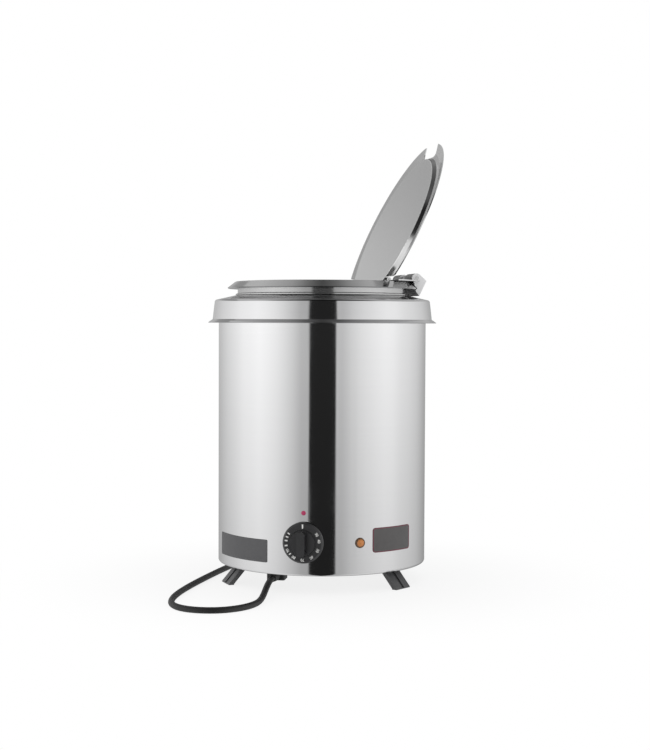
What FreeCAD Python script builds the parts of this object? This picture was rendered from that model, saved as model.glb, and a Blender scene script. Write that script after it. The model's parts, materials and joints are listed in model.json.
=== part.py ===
"""Soup kettle: a heated water-bath kettle with a lift-out pot and a folding cover.

Millimetres, +Z up, the kettle's front towards -Y. The origin is the point on the table
under the kettle's axis. The cover stands open, as it does while soup is served.
"""

import FreeCAD, Part
import Sketcher
import math
import os
import re

SIZES = {
    # Lift-out pot
    "pot_radius": 107.2,
    "pot_wall": 1.0,
    "pot_depth": 258.4,
    "pot_round": 14.0,
    "bead_reach": 2.6,
    "bead_height": 2.2,
    "seat_gap": 0.3,
    "neck_height": 16.9,
    "rim_reach": 12.8,
    "rim_tip_drop": 8.5,
    "rim_flat": 2.6,
    "rim_sheet": 1.1,
    "rim_return_width": 12.4,
    "rim_round": 5.0,
    # Water bath
    "bath_gap": 10.8,
    "bath_wall": 0.8,
    "bath_clear": 17.2,
    "bath_round": 10.0,
    "flange_lap": 0.3,
    # Outer jacket and feet
    "jacket_gap": 11.4,
    "jacket_wall": 0.8,
    "base_height": 23.1,
    "base_round": 3.2,
    "base_lip": 12.6,
    "plate_thick": 1.2,
    "foot_inset": 6.2,
    "foot_width": 28.0,
    "foot_depth": 6.8,
    "foot_lean": 20.0,
    "foot_groove": 2.0,
    "foot_groove_width": 5.0,
    "foot_sole": 1.2,
    # Drip collar round the top
    "collar_wall": 1.0,
    "collar_shoulder_height": 353.0,
    "collar_drop": 28.6,
    "collar_lip_rise": 4.0,
    "collar_round": 3.2,
    "shoulder_reach": 4.9,
    "skirt_flare": 2.8,
    "lip_flare": 5.9,
    "mouth_gap": 1.4,
    "mouth_rise": 6.2,
    # Folding cover
    "cover_turn": 21.8,
    "cover_overhang": 4.4,
    "cover_sheet": 1.0,
    "cover_gap": 0.3,
    "cover_hem": 0.3,
    "cover_hem_width": 3.6,
    "edge_ease": 1.2,
    "edge_drop": 3.0,
    "plug_clear": 2.2,
    "plug_taper": 3.0,
    "plug_depth": 5.0,
    "fold_inset": 56.4,
    "fold_rise": 2.2,
    "fold_angle": 115.3,
    "fold_half_length": 70.0,
    "fold_knuckle_radius": 2.6,
    "fold_pin_radius": 1.5,
    "fold_gap": 0.4,
    "drip_lip": 5.0,
    "notch_width": 50.0,
    "notch_depth": 19.5,
    "notch_round": 8.0,
    # Rim hinge of the cover
    "hinge_inset": 8.7,
    "hinge_rise": 3.3,
    "barrel_radius": 6.2,
    "leaf_roll_radius": 4.2,
    "hinge_pin_radius": 2.6,
    "bracket_half_length": 44.0,
    "knuckle_half_length": 12.0,
    "bracket_corner_reach": 12.9,
    "bracket_corner_drop": 3.1,
    "bracket_jaw_reach": 3.6,
    "bracket_jaw_drop": 9.0,
    "jaw_tip_inset": 9.5,
    "jaw_tip_drop": 3.6,
    "leaf_thick": 1.6,
    "leaf_length": 25.3,
    "rivet_radius": 2.4,
    "rivet_head": 1.0,
    "running_gap": 0.05,
    # Controls on the front
    "knob_azimuth": -90.9,
    "knob_rise": 2.15,
    "knob_radius": 24.5,
    "knob_skirt": 5.0,
    "knob_grip_radius": 16.0,
    "knob_grip_length": 19.5,
    "knob_bar_width": 9.6,
    "knob_gap": 1.6,
    "shaft_radius": 3.0,
    "shaft_hole": 5.0,
    "thermostat_width": 36.0,
    "thermostat_depth": 24.0,
    "thermostat_gap": 4.0,
    "bracket_strap": 1.6,
    "lamp_azimuth": -60.9,
    "lamp_rise": 0.95,
    "lamp_barrel_radius": 4.8,
    "lamp_barrel_wall": 0.4,
    "lamp_bezel_width": 1.5,
    "lamp_bezel_thick": 1.8,
    "lamp_length": 22.0,
    # Plates on the jacket
    "plate_skin": 0.4,
    "plate_glue": 0.05,
    "badge_azimuth": -40.2,
    "badge_height": 64.4,
    "badge_width": 60.4,
    "badge_tall": 29.8,
    "badge_round": 3.6,
    "notice_azimuth": -131.7,
    "notice_height": 50.8,
    "notice_width": 92.0,
    "notice_tall": 27.4,
    "notice_round": 1.5,
    # Heater under the bath
    "heater_inset": 36.0,
    "heater_tube": 4.2,
    "heater_plate_inset": 20.0,
    "heater_plate_thick": 3.0,
    "stud_radius": 4.0,
    "nut_radius": 7.5,
    "nut_height": 6.0,
    "bulb_radius": 3.2,
    "bulb_length": 70.0,
    "terminal_length": 36.0,
    "terminal_width": 18.0,
    "terminal_height": 16.0,
    # Mains lead
    "cord_diameter": 7.4,
    "cord_rest": 0.1,
    "outlet_width": 22.0,
    "outlet_length": 24.0,
    "outlet_height": 14.0,
    "boot_length": 22.0,
    "boot_radius": 6.4,
    "coil_start_radius": 46.0,
    "coil_gap": 0.6,
    "coil_lift": 0.8,
    "tie_width": 9.0,
    "tie_thick": 0.6,
    "plug_head_radius": 18.6,
    "plug_head_length": 17.0,
    "plug_grip_radius": 12.5,
    "plug_length": 52.0,
    "plug_pin_radius": 2.4,
    "plug_pin_length": 19.0,
    "plug_pin_spread": 19.0,
}

# Sizes that follow from the others, so that each piece keeps its seat when one of them changes
DERIVED = {
    "bath_radius": "pot_radius + bath_gap",
    "jacket_radius": "bath_radius + bath_wall + jacket_gap + jacket_wall",
    "base_opening": "jacket_radius - base_lip",
    "foot_radius": "jacket_radius - foot_inset",
    "collar_shoulder_radius": "jacket_radius + shoulder_reach",
    "collar_skirt_radius": "collar_shoulder_radius + skirt_flare",
    "collar_lip_radius": "collar_skirt_radius + lip_flare",
    "collar_lip_height": "collar_shoulder_height - collar_drop",
    "collar_mouth": "pot_radius + mouth_gap",
    "collar_mouth_height": "collar_shoulder_height + mouth_rise",
    "rim_height": "collar_mouth_height + seat_gap + neck_height",
    "rim_tip_radius": "pot_radius + rim_reach",
    "rim_tip_height": "rim_height - rim_tip_drop",
    "rim_return": "rim_tip_radius - rim_return_width",
    "pot_floor": "rim_height - pot_depth",
    "bath_floor": "pot_floor - bath_clear - bath_wall",
    "knob_height": "(base_height + bath_floor) / 2 + knob_rise",
    "lamp_height": "(base_height + bath_floor) / 2 + lamp_rise",
    "cover_radius": "rim_tip_radius + cover_overhang",
    "edge_start": "pot_radius + rim_flat + edge_ease",
    "plug_radius": "pot_radius - pot_wall - plug_clear",
    "fold_distance": "cover_radius - fold_inset",
    "hinge_distance": "rim_tip_radius - hinge_inset",
    "hinge_height": "rim_height + cover_gap + cover_sheet + hinge_rise",
    "leaf_inner": "hinge_distance - leaf_length",
    "lamp_lens_radius": "lamp_barrel_radius - lamp_barrel_wall",
    "lamp_bezel_radius": "lamp_barrel_radius + lamp_bezel_width",
    "heater_radius": "bath_radius - heater_inset",
    "heater_plate_radius": "bath_radius - heater_plate_inset",
    "coil_step": "cord_diameter + coil_gap",
}

# Places of the mains lead, chosen by hand to come forward and then pass the left foot
CORD_POINTS = [
    (-43.5, -110.0, 16.2),
    (-43.5, -126.0, 16.2),
    (-43.4, -147.0, 12.2),
    (-43.0, -168.0, 6.6),
    (-42.6, -191.0, 3.8),
    (-45.5, -215.0, 3.8),
    (-56.0, -237.0, 3.8),
    (-75.5, -254.0, 3.8),
    (-102.0, -257.5, 3.8),
    (-126.0, -246.5, 3.8),
    (-140.5, -223.5, 3.8),
    (-146.5, -193.0, 3.8),
    (-148.0, -157.0, 3.8),
    (-146.2, -117.5, 3.8),
    (-142.8, -77.0, 3.8),
    (-138.5, -37.0, 3.8),
    (-133.5, 4.0, 3.8),
    (-127.5, 45.0, 3.8),
    (-120.5, 85.0, 3.8),
    (-112.5, 122.5, 3.8),
    (-103.7, 156.5, 4.0),
    (-95.3, 183.0, 4.3),
    (-86.5, 202.744, 4.5),
    (-78.5, 216.6, 4.5),
]
COIL_START_ANGLE = 150.0
TURNS_PER_LAYER = 4 / 3
CLIMB_TURNS = 0.5
TAIL_STEPS = [(11.0, 0.0, 0.0), (26.0, 0.5, 3.1), (41.0, 0.0, 6.2), (52.0, 0.0, 6.2)]

doc = FreeCAD.newDocument("SoupKettle")
sheet = doc.addObject("Spreadsheet::Sheet", "Sizes")
for row, (alias, number) in enumerate(SIZES.items(), start=1):
    sheet.set(f"A{row}", alias)
    sheet.set(f"B{row}", str(number))
    sheet.setAlias(f"B{row}", alias)
doc.recompute()

nodes = []


def bound(text):
    """The expression in the sheet's names, with every size that follows from others written out."""

    def spelled(match):
        name = match.group()
        if name in DERIVED:
            return "(" + bound(DERIVED[name]) + ")"
        return "Sizes." + name if name in SIZES else name

    return re.sub(r"[a-z_]+", spelled, text)


def size(text):
    """The number that an expression of size names gives."""
    return float(sheet.evalExpression(bound(text)))


def vector(x, y, z):
    return FreeCAD.Vector(x, y, z)


def node(obj, label):
    obj.Label = label
    nodes.append(obj)
    return obj


def turned(azimuth):
    """A turn about the kettle's axis, in degrees."""
    return FreeCAD.Placement(vector(0, 0, 0), FreeCAD.Rotation(vector(0, 0, 1), azimuth))


def facing(azimuth, height, radius):
    """A place on the jacket with its own Z pointing straight out of the kettle."""
    outwards = FreeCAD.Placement(vector(radius, 0, height), FreeCAD.Rotation(vector(0, 1, 0), 90))
    return turned(azimuth).multiply(outwards)


def outline(body, plane, corners):
    """A closed outline through corners, each a pair of expressions in the plane's two directions."""
    sketch = body.newObject("Sketcher::SketchObject", body.Name + "Outline")
    support = [part for part in body.Origin.OriginFeatures if part.Role == plane][0]
    sketch.AttachmentSupport = [(support, "")]
    sketch.MapMode = "FlatFace"
    points = [vector(size(first), size(second), 0) for first, second in corners]
    count = len(points)
    for index, point in enumerate(points):
        sketch.addGeometry(Part.LineSegment(point, points[(index + 1) % count]), False)
    for index in range(count):
        sketch.addConstraint(Sketcher.Constraint("Coincident", index, 2, (index + 1) % count, 1))
    for index, pair in enumerate(corners):
        for direction, axis, text in (("DistanceX", -2, pair[0]), ("DistanceY", -1, pair[1])):
            if text == "0":
                sketch.addConstraint(Sketcher.Constraint("PointOnObject", index, 1, axis))
                continue
            place = sketch.addConstraint(Sketcher.Constraint(direction, -1, 1, index, 1, size(text)))
            sketch.setExpression(f"Constraints[{place}]", bound(text))
    return sketch


def rounded(body, feature, radius, rings):
    """Rounds the circular edges at the given pairs of radius and height."""
    doc.recompute()
    wanted = [(size(ring), size(height)) for ring, height in rings]
    names = []
    for index, edge in enumerate(feature.Shape.Edges, start=1):
        if not isinstance(edge.Curve, Part.Circle):
            continue
        for ring, height in wanted:
            if abs(edge.Curve.Radius - ring) < 0.01 and abs(edge.Curve.Center.z - height) < 0.01:
                names.append(f"Edge{index}")
    fillet = body.newObject("PartDesign::Fillet", body.Name + "Round")
    fillet.Base = (feature, names)
    fillet.Radius = size(radius)
    fillet.setExpression("Radius", bound(radius))
    return fillet


def revolved(name, corners, rounds=()):
    """A body turned about Z from an outline of radius and height pairs."""
    body = doc.addObject("PartDesign::Body", name)
    sketch = outline(body, "XZ_Plane", corners)
    feature = body.newObject("PartDesign::Revolution", name + "Turn")
    feature.Profile = sketch
    feature.ReferenceAxis = (sketch, ["V_Axis"])
    feature.Angle = 360
    for radius, rings in rounds:
        feature = rounded(body, feature, radius, rings)
    doc.recompute()
    return body


def padded(name, plane, corners, length):
    """A body padded evenly to both sides of a plane."""
    body = doc.addObject("PartDesign::Body", name)
    pad = body.newObject("PartDesign::Pad", name + "Pad")
    pad.Profile = outline(body, plane, corners)
    pad.Midplane = True
    pad.Length = size(length)
    pad.setExpression("Length", bound(length))
    doc.recompute()
    return body


def placed(obj, x, y, z):
    for direction, text in zip("xyz", (x, y, z)):
        obj.setExpression("Placement.Base." + direction, bound(text))
    return obj


def cylinder(name, radius, height, at=(), along=(0, 0, 1)):
    """A round bar from its foot; without a place it is put where it belongs afterwards."""
    obj = doc.addObject("Part::Cylinder", name)
    obj.Placement = FreeCAD.Placement(vector(0, 0, 0), FreeCAD.Rotation(vector(0, 0, 1), vector(*along)))
    obj.setExpression("Radius", bound(radius))
    obj.setExpression("Height", bound(height))
    return placed(obj, *at) if at else obj


def box(name, length, width, height, at):
    """A box whose corner stands at the given place."""
    obj = doc.addObject("Part::Box", name)
    for key, text in (("Length", length), ("Width", width), ("Height", height)):
        obj.setExpression(key, bound(text))
    return placed(obj, *at)


def rounded_box(name, length, width, height, at, radius, axis):
    """A box with the four edges along one axis rounded."""
    base = box(name + "Block", length, width, height, at)
    doc.recompute()
    obj = doc.addObject("Part::Fillet", name)
    obj.Base = base
    picked = []
    for index, edge in enumerate(base.Shape.Edges, start=1):
        direction = edge.Vertexes[1].Point - edge.Vertexes[0].Point
        if abs(direction.normalize()[axis]) > 0.99:
            picked.append((index, size(radius), size(radius)))
    obj.Edges = picked
    return obj


def fused(name, parts):
    obj = doc.addObject("Part::MultiFuse", name)
    obj.Shapes = parts
    obj.Refine = True
    return obj


def cut(name, base, tools):
    tool = tools[0] if len(tools) == 1 else fused(name + "Tools", tools)
    obj = doc.addObject("Part::Cut", name)
    obj.Base = base
    obj.Tool = tool
    obj.Refine = True
    return obj


def common(name, first, second):
    obj = doc.addObject("Part::MultiCommon", name)
    obj.Shapes = [first, second]
    return obj


# Outer jacket: one drawn sheet cylinder with a rolled-in bottom edge and two control holes
flange_under = "collar_shoulder_height - collar_wall - bath_wall"
jacket_shell = revolved(
    "JacketShell",
    [
        ("jacket_radius - jacket_wall", flange_under),
        ("jacket_radius - jacket_wall", "base_height + jacket_wall"),
        ("base_opening", "base_height + jacket_wall"),
        ("base_opening", "base_height"),
        ("jacket_radius", "base_height"),
        ("jacket_radius", flange_under),
    ],
    [
        ("base_round", [("jacket_radius", "base_height")]),
        ("base_round - jacket_wall", [("jacket_radius - jacket_wall", "base_height + jacket_wall")]),
    ],
)
shaft_cut = cylinder("ShaftCut", "shaft_hole", "jacket_radius")
shaft_cut.Placement = facing(size("knob_azimuth"), size("knob_height"), size("jacket_radius / 2"))
lamp_cut = cylinder("LampCut", "lamp_barrel_radius", "jacket_radius")
lamp_cut.Placement = facing(size("lamp_azimuth"), size("lamp_height"), size("jacket_radius / 2"))
node(cut("Jacket", jacket_shell, [shaft_cut, lamp_cut]), "outer_jacket")

# Base plate: a round cover under the controls, seated on the jacket's turned-in edge
plate_low = "base_height + jacket_wall"
plate_disc = revolved(
    "PlateDisc",
    [
        ("0", plate_low),
        ("jacket_radius - base_round - 1", plate_low),
        ("jacket_radius - base_round - 1", "base_height + jacket_wall + plate_thick"),
        ("0", "base_height + jacket_wall + plate_thick"),
    ],
)
node(plate_disc, "base_plate")

# Feet: three black splayed legs with a groove down the outer face
foot_azimuths = {"foot_front_right": -30, "foot_front_left": -150, "foot_rear": 90}
foot_top = "foot_radius - foot_lean"
for label, azimuth in foot_azimuths.items():
    leg = padded(
        label + "_leg",
        "XZ_Plane",
        [
            ("foot_radius - foot_depth / 2", "0"),
            ("foot_radius + foot_depth / 2", "0"),
            ("foot_radius + foot_depth / 2", "foot_sole"),
            ("foot_radius - foot_lean + foot_depth / 2", plate_low),
            ("foot_radius - foot_lean - foot_depth / 2", plate_low),
            ("foot_radius - foot_depth / 2", "foot_sole"),
        ],
        "foot_width",
    )
    groove = padded(
        label + "_groove",
        "XZ_Plane",
        [
            ("foot_radius + foot_depth / 2 - foot_groove", "foot_sole"),
            ("foot_radius + foot_depth", "foot_sole"),
            ("foot_radius + foot_depth", plate_low),
            ("foot_radius - foot_lean + foot_depth / 2 - foot_groove", plate_low),
        ],
        "foot_groove_width",
    )
    foot = node(cut(label + "_piece", leg, [groove]), label)
    foot.Placement = turned(azimuth)

# Foot screws: one pan-head screw up through each foot's seat, inside the base plate
screws = []
for label, azimuth in foot_azimuths.items():
    head = cylinder(label + "_screw", "nut_radius / 2", "nut_height / 2")
    seat = vector(size(foot_top), 0, size("base_height + jacket_wall + plate_thick"))
    head.Placement = turned(azimuth).multiply(FreeCAD.Placement(seat, FreeCAD.Rotation()))
    screws.append(head)
foot_screws = doc.addObject("Part::Compound", "FootScrews")
foot_screws.Links = screws
node(foot_screws, "foot_screws")

# Drip collar: spun sheet with a flared lip, a tapered skirt and a sloping top
node(
    revolved(
        "Collar",
        [
            ("collar_mouth", "collar_mouth_height - collar_wall"),
            ("collar_shoulder_radius - collar_wall", "collar_shoulder_height - collar_wall"),
            ("collar_skirt_radius - collar_wall", "collar_lip_height + collar_lip_rise"),
            ("collar_lip_radius - collar_wall", "collar_lip_height"),
            ("collar_lip_radius", "collar_lip_height + collar_wall / 2"),
            ("collar_skirt_radius", "collar_lip_height + collar_lip_rise + collar_wall / 2"),
            ("collar_shoulder_radius", "collar_shoulder_height"),
            ("collar_mouth", "collar_mouth_height"),
        ],
        [
            ("collar_round", [("collar_shoulder_radius", "collar_shoulder_height")]),
            (
                "collar_round - collar_wall",
                [("collar_shoulder_radius - collar_wall", "collar_shoulder_height - collar_wall")],
            ),
        ],
    ),
    "drip_collar",
)

# Water bath: the fixed inner well; its flange lies on the jacket and its turned-up edge carries the collar
flange_top = "collar_shoulder_height - collar_wall"
flange_reach = "(jacket_radius + flange_lap)"
collar_span = "(collar_shoulder_radius - collar_wall - collar_mouth)"
collar_fall = f"mouth_rise * (collar_shoulder_radius - collar_wall - {flange_reach}) / {collar_span}"
upstand_top = f"collar_shoulder_height - collar_wall + {collar_fall} - running_gap"
node(
    revolved(
        "Bath",
        [
            ("0", "bath_floor"),
            ("bath_radius + bath_wall", "bath_floor"),
            ("bath_radius + bath_wall", flange_under),
            (flange_reach, flange_under),
            (flange_reach, upstand_top),
            (flange_reach + " - bath_wall", upstand_top),
            (flange_reach + " - bath_wall", flange_top),
            ("bath_radius", flange_top),
            ("bath_radius", "bath_floor + bath_wall"),
            ("0", "bath_floor + bath_wall"),
        ],
        [
            ("bath_round", [("bath_radius + bath_wall", "bath_floor")]),
            ("bath_round - bath_wall", [("bath_radius", "bath_floor + bath_wall")]),
        ],
    ),
    "water_bath",
)

# Lift-out pot: straight wall, a swaged bead that sits on the collar, and a flared rim
bead_low = "collar_mouth_height + seat_gap"
node(
    revolved(
        "Pot",
        [
            ("0", "pot_floor"),
            ("pot_radius", "pot_floor"),
            ("pot_radius", bead_low),
            ("pot_radius + bead_reach", bead_low),
            ("pot_radius + bead_reach", "collar_mouth_height + seat_gap + bead_height / 2"),
            ("pot_radius", "collar_mouth_height + seat_gap + bead_height"),
            ("pot_radius", "rim_height - rim_sheet - rim_flat"),
            ("pot_radius + rim_flat", "rim_height - rim_sheet"),
            ("rim_tip_radius - rim_sheet * 2", "rim_tip_height + rim_sheet"),
            ("rim_return", "rim_tip_height"),
            ("rim_return", "rim_tip_height - rim_sheet"),
            ("rim_tip_radius - rim_sheet", "rim_tip_height - rim_sheet / 2"),
            ("rim_tip_radius", "rim_tip_height + rim_sheet / 2"),
            ("pot_radius + rim_flat", "rim_height"),
            ("pot_radius - pot_wall", "rim_height"),
            ("pot_radius - pot_wall", "pot_floor + pot_wall"),
            ("0", "pot_floor + pot_wall"),
        ],
        [
            ("pot_round", [("pot_radius", "pot_floor")]),
            ("pot_round - pot_wall", [("pot_radius - pot_wall", "pot_floor + pot_wall")]),
            ("rim_round", [("pot_radius + rim_flat", "rim_height")]),
        ],
    ),
    "insert_pot",
)

# Folding cover, drawn closed with its hinge towards +X and then turned to its place
cover_low = "rim_height + cover_gap"
cover_top = "rim_height + cover_gap + cover_sheet"
fold_height = "rim_height + cover_gap + fold_rise"
fold_clear = "fold_knuckle_radius + fold_gap"
cover_place = turned(size("cover_turn"))
fold_point = vector(size("fold_distance"), 0, size(fold_height))
fold_turn = FreeCAD.Rotation(vector(0, 1, 0), size("fold_angle"))
flap_place = cover_place.multiply(FreeCAD.Placement(vector(0, 0, 0), fold_turn, fold_point))

KNUCKLES = 7
knuckle_step = f"(2 * fold_half_length / {KNUCKLES})"


def knuckle_row(name, first, side):
    """Every second rolled knuckle of the fold, each on a tongue of its own sheet."""
    pieces = []
    for index in range(first, KNUCKLES, 2):
        start = f"{index} * {knuckle_step} - fold_half_length + running_gap"
        length = f"{knuckle_step} - 2 * running_gap"
        pieces.append(
            cylinder(
                f"{name}Knuckle{index}",
                "fold_knuckle_radius",
                length,
                ("fold_distance", f"-({start})", fold_height),
                (0, -1, 0),
            )
        )
        reach = "(fold_knuckle_radius + fold_gap + cover_sheet)"
        low = "fold_distance - " + reach if side < 0 else "fold_distance"
        pieces.append(box(f"{name}Tongue{index}", reach, length, "cover_sheet", (low, f"-({start}) - ({length})", cover_low)))
    return pieces


def fold_bore(name):
    return cylinder(
        name,
        "fold_pin_radius + running_gap",
        "2 * fold_half_length + 2",
        ("fold_distance", "fold_half_length + 1", fold_height),
        (0, -1, 0),
    )


# Front flap: pressed sheet with its edge turned down past the rim and a notch for the ladle; its
# dropped pan runs on under the fold as a lip that sheds drips back into the pot
pan_low = "rim_height + cover_gap - plug_depth"
panel_radius = "plug_radius - plug_taper"
flap_blank = revolved(
    "FlapBlank",
    [
        ("0", pan_low),
        (panel_radius, pan_low),
        ("plug_radius", cover_low),
        ("edge_start", cover_low),
        ("cover_radius", cover_low + " - edge_drop"),
        ("cover_radius", cover_top + " - edge_drop + cover_hem"),
        ("edge_start", cover_top),
        ("0", cover_top),
    ],
    [("cover_sheet * 1.6", [(panel_radius, pan_low)])],
)
pan_hollow = revolved(
    "PanHollow",
    [
        ("0", pan_low + " + cover_sheet"),
        (panel_radius + " - cover_sheet", pan_low + " + cover_sheet"),
        ("plug_radius - cover_sheet", cover_top),
        ("plug_radius - cover_sheet", cover_top + " + plug_depth"),
        ("0", cover_top + " + plug_depth"),
    ],
)


def beyond(name, distance, low):
    """Everything on the hinge side of a straight line across the cover, above a height."""
    return box(
        name,
        "2 * cover_radius",
        "2 * cover_radius + 2",
        "6 * plug_depth",
        (distance, "-cover_radius - 1", low),
    )


flap_edge = "fold_distance - fold_knuckle_radius - fold_gap"
notch = rounded_box(
    "Notch",
    "2 * notch_depth",
    "notch_width",
    "4 * plug_depth",
    ("-cover_radius - notch_depth", "-notch_width / 2", "rim_height - 2 * plug_depth"),
    "notch_round",
    2,
)
pan_room = cut("PanRoom", pan_hollow, [beyond("BeyondPan", flap_edge + " - cover_sheet", pan_low)])
beyond_lip = beyond("BeyondLip", "fold_distance + drip_lip", pan_low + " - plug_depth")
beyond_flap = beyond("BeyondFlap", flap_edge, pan_low + " + cover_sheet")
flap_sheet = cut("FlapSheet", flap_blank, [beyond_flap, beyond_lip, notch, pan_room])
flap_whole = fused("FlapWhole", [flap_sheet] + knuckle_row("Flap", 1, -1))
flap = node(cut("Flap", flap_whole, [fold_bore("FlapBore")]), "cover_flap")
flap.Placement = flap_place

# Rear cover: the flat segment that stays over the back of the pot
rear_disc = revolved(
    "RearDisc",
    [
        ("0", cover_low),
        ("cover_radius", cover_low),
        ("cover_radius", cover_top + " + cover_hem"),
        ("cover_radius - cover_hem_width", cover_top + " + cover_hem"),
        ("cover_radius - cover_hem_width", cover_top),
        ("0", cover_top),
    ],
)
before_fold = box(
    "BeforeFold",
    "2 * cover_radius",
    "2 * cover_radius + 2",
    "4 * plug_depth",
    ("fold_distance + " + fold_clear + " - 2 * cover_radius", "-cover_radius - 1", "rim_height - 2 * plug_depth"),
)
hinge_room = box(
    "HingeRoom",
    "cover_radius",
    "2 * (bracket_half_length + 2)",
    "4 * plug_depth",
    ("hinge_distance - barrel_radius - 2", "-bracket_half_length - 2", "rim_height - 2 * plug_depth"),
)
rear_sheet = cut("RearSheet", rear_disc, [before_fold, hinge_room])
rear_whole = fused("RearWhole", [rear_sheet] + knuckle_row("Rear", 0, 1))
rear = node(cut("Rear", rear_whole, [fold_bore("RearBore")]), "cover_rear")
rear.Placement = cover_place

# Fold pin: the wire through the knuckles of both cover sheets
fold_pin = cylinder("FoldPin", "fold_pin_radius", "2 * fold_half_length")
fold_pin.Placement = cover_place.multiply(
    FreeCAD.Placement(
        vector(size("fold_distance"), size("fold_half_length"), size(fold_height)),
        FreeCAD.Rotation(vector(0, 0, 1), vector(0, -1, 0)),
    )
)
node(fold_pin, "fold_pin")

# Hinge leaf: a plate riveted to the rear cover, rolled round the hinge pin
leaf_width = "2 * (knuckle_half_length - running_gap * 4)"
leaf_plate = box(
    "LeafPlate",
    "hinge_distance - leaf_inner",
    leaf_width,
    "leaf_thick",
    ("leaf_inner", "-knuckle_half_length + running_gap * 4", cover_top),
)
leaf_roll = cylinder(
    "LeafRoll",
    "leaf_roll_radius",
    leaf_width,
    ("hinge_distance", "knuckle_half_length - running_gap * 4", "hinge_height"),
    (0, -1, 0),
)
leaf_bore = cylinder(
    "LeafBore",
    "hinge_pin_radius + running_gap",
    "2 * bracket_half_length",
    ("hinge_distance", "bracket_half_length", "hinge_height"),
    (0, -1, 0),
)
leaf = node(cut("Leaf", fused("LeafWhole", [leaf_plate, leaf_roll]), [leaf_bore]), "hinge_leaf")
leaf.Placement = cover_place

# Leaf rivets: two round heads that hold the leaf on the rear cover
rivets = []
for index, side in enumerate((-1, 1)):
    rivets.append(
        cylinder(
            f"Rivet{index}",
            "rivet_radius",
            "rivet_head",
            ("leaf_inner + 3 * rivet_radius", f"{side} * knuckle_half_length / 2", cover_top + " + leaf_thick"),
        )
    )
leaf_rivets = doc.addObject("Part::Compound", "LeafRivets")
leaf_rivets.Links = rivets
leaf_rivets.Placement = cover_place
node(leaf_rivets, "leaf_rivets")

# Hinge bracket: a cast clamp that grips the pot's rim and carries the hinge pin
bracket_block = padded(
    "BracketBlock",
    "XZ_Plane",
    [
        ("rim_tip_radius - jaw_tip_inset", "rim_tip_height - jaw_tip_drop"),
        ("hinge_distance + bracket_jaw_reach", "rim_tip_height - bracket_jaw_drop"),
        ("hinge_distance + bracket_corner_reach", "hinge_height - bracket_corner_drop"),
        ("hinge_distance + barrel_radius * 0.5", "hinge_height + barrel_radius * 0.87"),
        ("hinge_distance", "hinge_height"),
        ("hinge_distance - barrel_radius / 2", "hinge_height - barrel_radius * 0.87"),
    ],
    "2 * bracket_half_length",
)
bracket_barrel = cylinder(
    "BracketBarrel",
    "barrel_radius",
    "2 * bracket_half_length",
    ("hinge_distance", "bracket_half_length", "hinge_height"),
    (0, -1, 0),
)
rim_room = revolved(
    "RimRoom",
    [
        ("pot_radius - 2 * barrel_radius", "rim_tip_height - rim_sheet - running_gap"),
        ("rim_tip_radius - rim_sheet", "rim_tip_height - rim_sheet - running_gap"),
        ("rim_tip_radius + seat_gap", "rim_tip_height"),
        ("rim_tip_radius + seat_gap", "rim_tip_height + rim_sheet"),
        ("pot_radius + rim_flat + 2 * rim_sheet", "rim_height + seat_gap"),
        ("pot_radius - 2 * barrel_radius", "rim_height + seat_gap"),
    ],
)
knuckle_room = box(
    "KnuckleRoom",
    "3 * barrel_radius + leaf_roll_radius + 2 * seat_gap",
    "2 * knuckle_half_length",
    "4 * barrel_radius",
    (
        "hinge_distance - 3 * barrel_radius",
        "-knuckle_half_length",
        "hinge_height - leaf_roll_radius - seat_gap * 2",
    ),
)
bracket_bore = cylinder(
    "BracketBore",
    "hinge_pin_radius + running_gap",
    "2 * bracket_half_length + 2",
    ("hinge_distance", "bracket_half_length + 1", "hinge_height"),
    (0, -1, 0),
)
bracket_whole = fused("BracketWhole", [bracket_block, bracket_barrel])
bracket = node(cut("Bracket", bracket_whole, [rim_room, knuckle_room, bracket_bore]), "hinge_bracket")
bracket.Placement = cover_place

# Hinge pin: the rod through the bracket and the leaf
hinge_pin = cylinder("HingePin", "hinge_pin_radius", "2 * bracket_half_length")
hinge_pin.Placement = cover_place.multiply(
    FreeCAD.Placement(
        vector(size("hinge_distance"), size("bracket_half_length"), size("hinge_height")),
        FreeCAD.Rotation(vector(0, 0, 1), vector(0, -1, 0)),
    )
)
node(hinge_pin, "hinge_pin")

# Thermostat knob: a moulded skirt with a raised grip bar, drawn upright and laid on the front
knob_place = facing(size("knob_azimuth"), size("knob_height"), size("jacket_radius + knob_gap"))
knob_turning = revolved(
    "KnobTurning",
    [
        ("0", "0"),
        ("knob_radius", "0"),
        ("knob_radius", "knob_skirt * 0.5"),
        ("knob_radius - knob_skirt * 0.4", "knob_skirt"),
        ("knob_grip_radius", "knob_skirt"),
        ("knob_grip_radius - 1", "knob_grip_length * 0.42"),
        ("0", "knob_grip_length * 0.42"),
    ],
)
knob_bar = rounded_box(
    "KnobBar",
    "2 * knob_grip_radius - 3",
    "knob_bar_width",
    "knob_grip_length - knob_skirt",
    ("-knob_grip_radius + 1.5", "-knob_bar_width / 2", "knob_skirt"),
    "knob_bar_width * 0.45",
    2,
)
knob_bore = cylinder("KnobBore", "shaft_radius + running_gap", "knob_skirt * 1.6", ("0", "0", "-knob_skirt * 0.4"))
knob = node(cut("Knob", fused("KnobWhole", [knob_turning, knob_bar]), [knob_bore]), "thermostat_knob")
knob.Placement = knob_place

# Thermostat shaft: turns with the knob, through the jacket and into the switch
shaft_back = "thermostat_gap + knob_gap + jacket_wall + thermostat_depth / 2"
shaft = cylinder("Shaft", "shaft_radius", shaft_back + " + knob_skirt")
shaft.Placement = facing(
    size("knob_azimuth"), size("knob_height"), size("jacket_radius + knob_gap - (" + shaft_back + ")")
)
node(shaft, "thermostat_shaft")

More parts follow.
